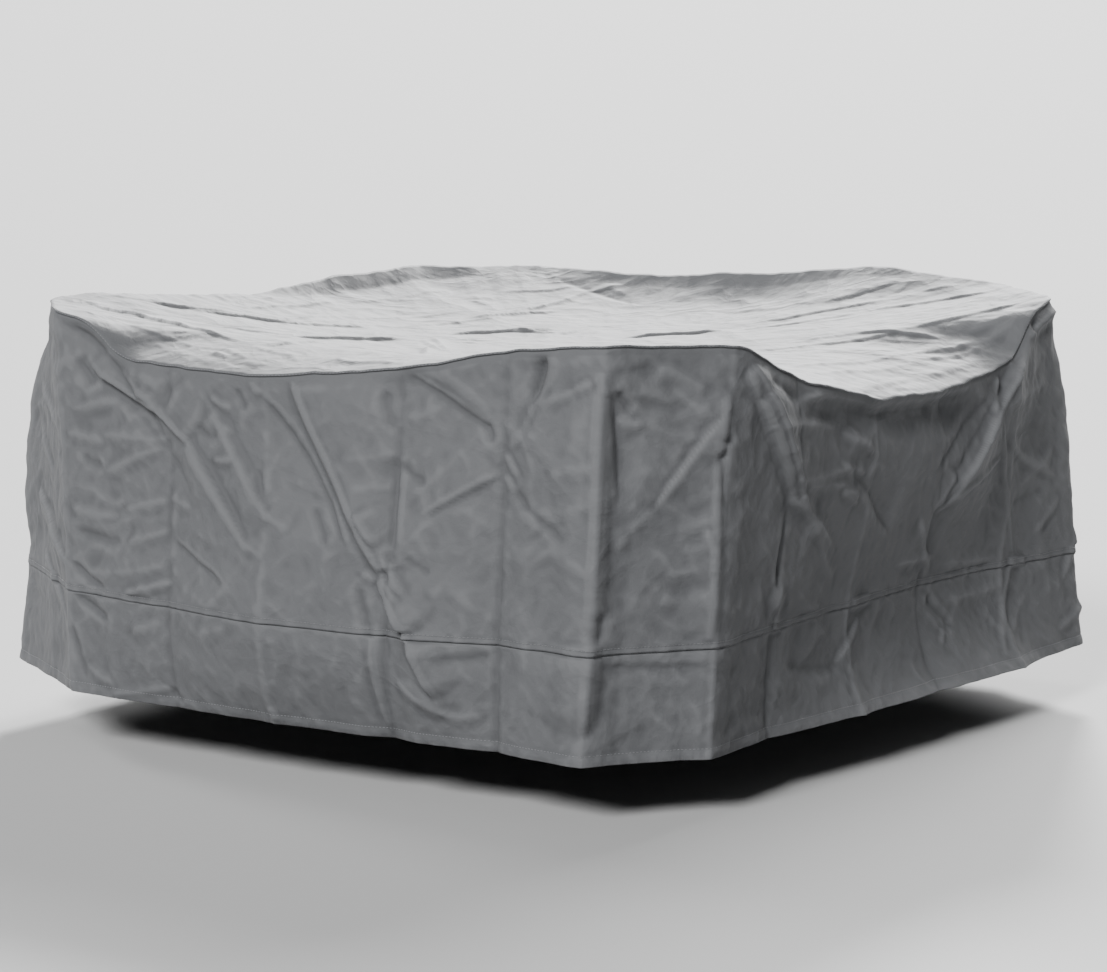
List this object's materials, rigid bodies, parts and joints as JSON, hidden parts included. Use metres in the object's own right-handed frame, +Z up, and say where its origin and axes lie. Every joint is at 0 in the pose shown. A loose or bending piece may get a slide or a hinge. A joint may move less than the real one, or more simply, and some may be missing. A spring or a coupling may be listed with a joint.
{
  "type": "patio furniture cover",
  "caption": "Fitted fabric cover draped over a garden table and chairs, with a dished top panel, a long flared skirt and a seamed lower band with a turned-up hem.",
  "frame": {"origin": "under the middle of the top panel, on the cloth's mid-surface, where the furniture under it would stand", "axes": "+Z up, -Y out of the long front side, +X out of the side whose top edge sags most"},
  "size_m": [2.1638, 2.1984, 0.9265],
  "materials": {
    "top_cloth": "matt coated woven polyester, mid grey",
    "skirt_cloth": "matt coated woven polyester, mid grey"
  },
  "bodies": {
    "root": {"top_panel": "top_cloth", "upper_skirt": "skirt_cloth", "lower_band": "skirt_cloth"}
  },
  "joints": []
}
